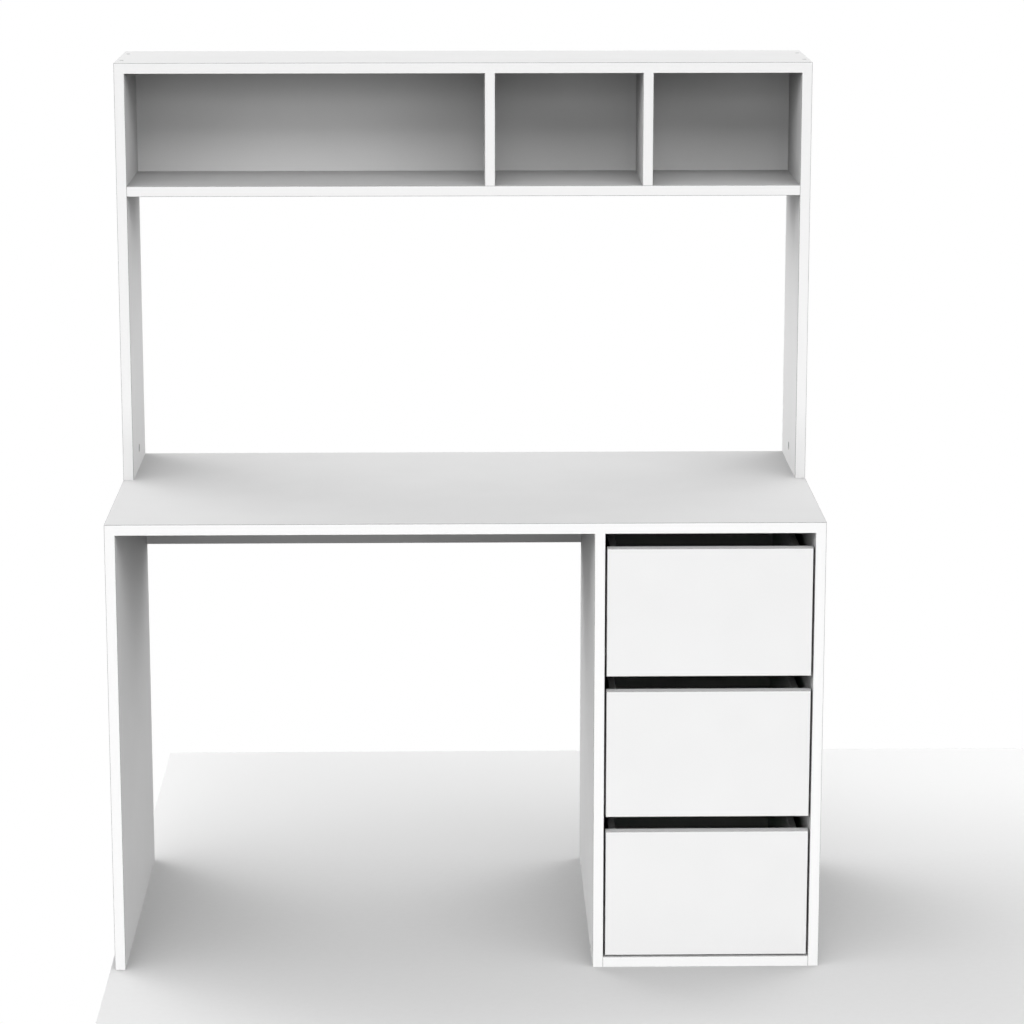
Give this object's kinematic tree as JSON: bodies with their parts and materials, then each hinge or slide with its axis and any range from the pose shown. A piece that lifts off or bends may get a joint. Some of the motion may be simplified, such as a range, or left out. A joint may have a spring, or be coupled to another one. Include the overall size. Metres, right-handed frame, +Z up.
{
  "type": "student desk with hutch",
  "caption": "White board writing desk with a drawer pedestal on the right, open kneehole, rear rail, and a hutch of open cubbies on two uprights.",
  "frame": {"origin": "on the floor, at the middle of the footprint", "axes": "+X to the right along the front, +Y from the front to the rear, +Z up"},
  "size_m": [1.2, 0.6, 1.507],
  "materials": {
    "white_board": "white melamine-faced chipboard, fine pearl texture, edges banded",
    "hardboard": "thin hardboard, white lacquered on one face, brown on the other",
    "runner_steel": "bent sheet steel, white epoxy powder coat",
    "nylon": "moulded natural nylon",
    "zinc_casting": "bare die-cast zinc",
    "zinc_steel": "zinc-plated steel",
    "beech": "plain fluted beech"
  },
  "bodies": {
    "carcass": {"desk_top": "white_board", "left_leg_panel": "white_board", "pedestal_inner_panel": "white_board", "right_side_panel": "white_board", "pedestal_bottom_panel": "white_board", "rear_rail": "white_board", "hutch_left_upright": "white_board", "hutch_right_upright": "white_board", "hutch_top_panel": "white_board", "hutch_shelf_panel": "white_board", "hutch_left_divider": "white_board", "hutch_right_divider": "white_board", "hutch_back_panel": "white_board", "pedestal_back_sheet": "hardboard", "wood_dowels": "beech", "connector_screws": "zinc_steel", "cam_locks": "zinc_casting", "cam_bolts": "zinc_steel", "bottom_drawer_left_cabinet_runner": "runner_steel", "bottom_drawer_right_cabinet_runner": "runner_steel", "middle_drawer_left_cabinet_runner": "runner_steel", "middle_drawer_right_cabinet_runner": "runner_steel", "top_drawer_left_cabinet_runner": "runner_steel", "top_drawer_right_cabinet_runner": "runner_steel"},
    "bottom_drawer": {"bottom_drawer_front": "white_board", "bottom_drawer_left_side": "white_board", "bottom_drawer_right_side": "white_board", "bottom_drawer_back": "white_board", "bottom_drawer_base_sheet": "hardboard", "bottom_drawer_left_runner": "runner_steel", "bottom_drawer_right_runner": "runner_steel", "bottom_drawer_dowels": "beech"},
    "bottom_drawer_front_rollers": {"bottom_drawer_front_rollers": "nylon"},
    "bottom_drawer_rear_rollers": {"bottom_drawer_rear_rollers": "nylon"},
    "middle_drawer": {"middle_drawer_front": "white_board", "middle_drawer_left_side": "white_board", "middle_drawer_right_side": "white_board", "middle_drawer_back": "white_board", "middle_drawer_base_sheet": "hardboard", "middle_drawer_left_runner": "runner_steel", "middle_drawer_right_runner": "runner_steel", "middle_drawer_dowels": "beech"},
    "middle_drawer_front_rollers": {"middle_drawer_front_rollers": "nylon"},
    "middle_drawer_rear_rollers": {"middle_drawer_rear_rollers": "nylon"},
    "top_drawer": {"top_drawer_front": "white_board", "top_drawer_left_side": "white_board", "top_drawer_right_side": "white_board", "top_drawer_back": "white_board", "top_drawer_base_sheet": "hardboard", "top_drawer_left_runner": "runner_steel", "top_drawer_right_runner": "runner_steel", "top_drawer_dowels": "beech"},
    "top_drawer_front_rollers": {"top_drawer_front_rollers": "nylon"},
    "top_drawer_rear_rollers": {"top_drawer_rear_rollers": "nylon"}
  },
  "joints": [
    {"name": "bottom_drawer_slide", "type": "slide", "parent": "carcass", "child": "bottom_drawer", "axis": [0, -1, 0], "range_m": [0, 0.375]},
    {"name": "bottom_drawer_front_rollers_spin", "type": "hinge", "parent": "carcass", "child": "bottom_drawer_front_rollers", "pos_m": [0.407, -0.266, 0.0517], "axis": [1, 0, 0], "continuous": true},
    {"name": "bottom_drawer_rear_rollers_spin", "type": "hinge", "parent": "bottom_drawer", "child": "bottom_drawer_rear_rollers", "pos_m": [0.407, 0.204, 0.0505], "axis": [1, 0, 0], "continuous": true},
    {"name": "middle_drawer_slide", "type": "slide", "parent": "carcass", "child": "middle_drawer", "axis": [0, -1, 0], "range_m": [0, 0.375]},
    {"name": "middle_drawer_front_rollers_spin", "type": "hinge", "parent": "carcass", "child": "middle_drawer_front_rollers", "pos_m": [0.407, -0.266, 0.2977], "axis": [1, 0, 0], "continuous": true},
    {"name": "middle_drawer_rear_rollers_spin", "type": "hinge", "parent": "middle_drawer", "child": "middle_drawer_rear_rollers", "pos_m": [0.407, 0.204, 0.2965], "axis": [1, 0, 0], "continuous": true},
    {"name": "top_drawer_slide", "type": "slide", "parent": "carcass", "child": "top_drawer", "axis": [0, -1, 0], "range_m": [0, 0.375]},
    {"name": "top_drawer_front_rollers_spin", "type": "hinge", "parent": "carcass", "child": "top_drawer_front_rollers", "pos_m": [0.407, -0.266, 0.5437], "axis": [1, 0, 0], "continuous": true},
    {"name": "top_drawer_rear_rollers_spin", "type": "hinge", "parent": "top_drawer", "child": "top_drawer_rear_rollers", "pos_m": [0.407, 0.204, 0.5425], "axis": [1, 0, 0], "continuous": true}
  ],
  "couplings": [
    {"joint": "bottom_drawer_front_rollers_spin", "follows": "bottom_drawer_slide", "rad_per_m": 100},
    {"joint": "bottom_drawer_rear_rollers_spin", "follows": "bottom_drawer_slide", "rad_per_m": 100},
    {"joint": "middle_drawer_front_rollers_spin", "follows": "middle_drawer_slide", "rad_per_m": 100},
    {"joint": "middle_drawer_rear_rollers_spin", "follows": "middle_drawer_slide", "rad_per_m": 100},
    {"joint": "top_drawer_front_rollers_spin", "follows": "top_drawer_slide", "rad_per_m": 100},
    {"joint": "top_drawer_rear_rollers_spin", "follows": "top_drawer_slide", "rad_per_m": 100}
  ]
}
